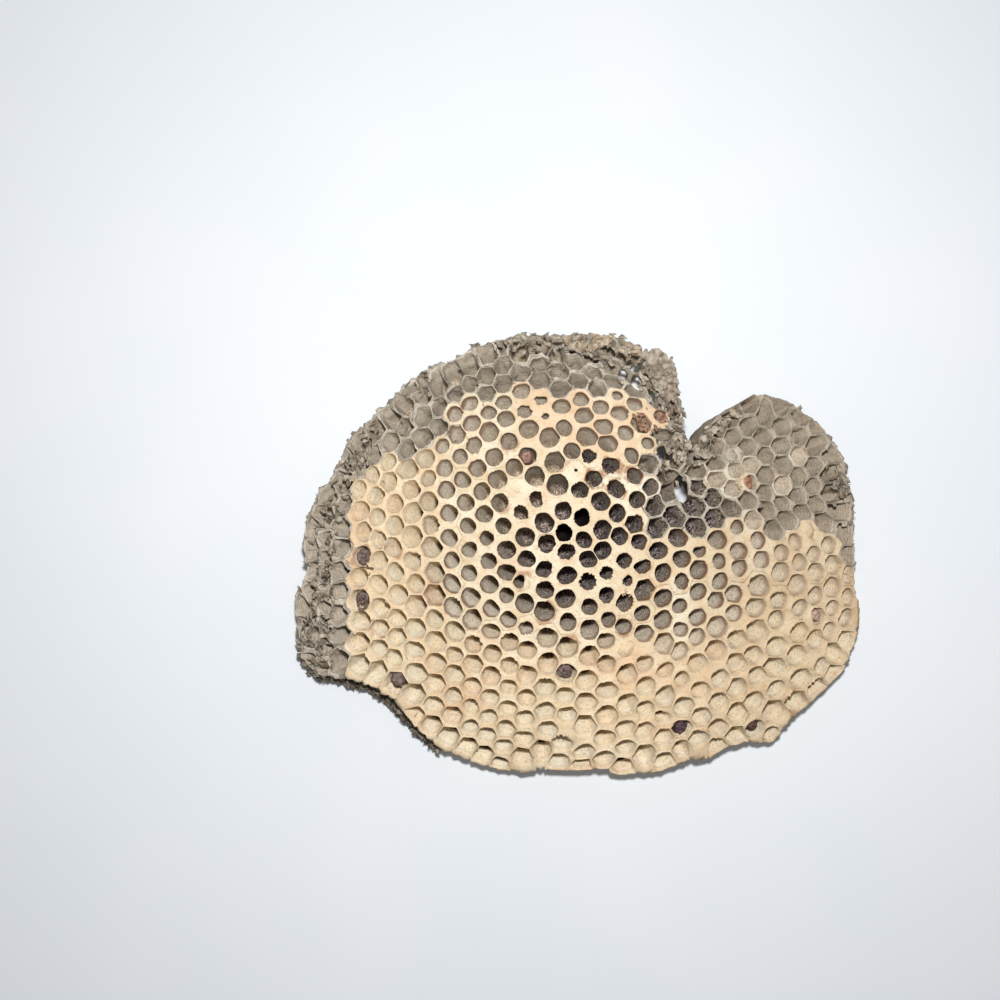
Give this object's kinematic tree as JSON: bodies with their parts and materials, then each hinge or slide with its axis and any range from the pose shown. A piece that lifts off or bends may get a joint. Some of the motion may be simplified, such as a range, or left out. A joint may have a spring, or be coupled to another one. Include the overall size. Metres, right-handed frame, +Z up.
{
  "type": "hornet nest comb",
  "caption": "Domed paper comb of a hornet nest: open hexagonal cells with cream silk collars, grey paper rim, a notched edge and dried brood remains, lying on its rim.",
  "frame": {"origin": "middle of the footprint's bounding box on the plane the comb rests on", "axes": "+Z up, the way the cell mouths face; +X towards the lobe beside the notch, along the comb's long side; +Y towards the notched edge"},
  "size_m": [0.181, 0.1424, 0.029],
  "materials": {
    "comb_paper": "matte",
    "pupa_dark": "matte",
    "pupa_brown": "matte",
    "larva_pink": "matte",
    "cocoon": "matte",
    "larva_orange": "matte",
    "larva_dried": "matte",
    "larva_pale": "matte"
  },
  "bodies": {
    "root": {"comb": "comb_paper", "pupa_dark_lower": "pupa_dark", "pupa_dark_edge": "pupa_dark", "pupa_brown_corner": "pupa_brown", "larva_pink_upper": "larva_pink", "cocoon_reddish": "cocoon", "larva_orange_lobe": "larva_orange", "larva_dried_left_1": "larva_dried", "larva_dried_left_2": "larva_dried", "larva_dried_left_3": "larva_dried", "larva_pale_right": "larva_pale"}
  },
  "joints": []
}
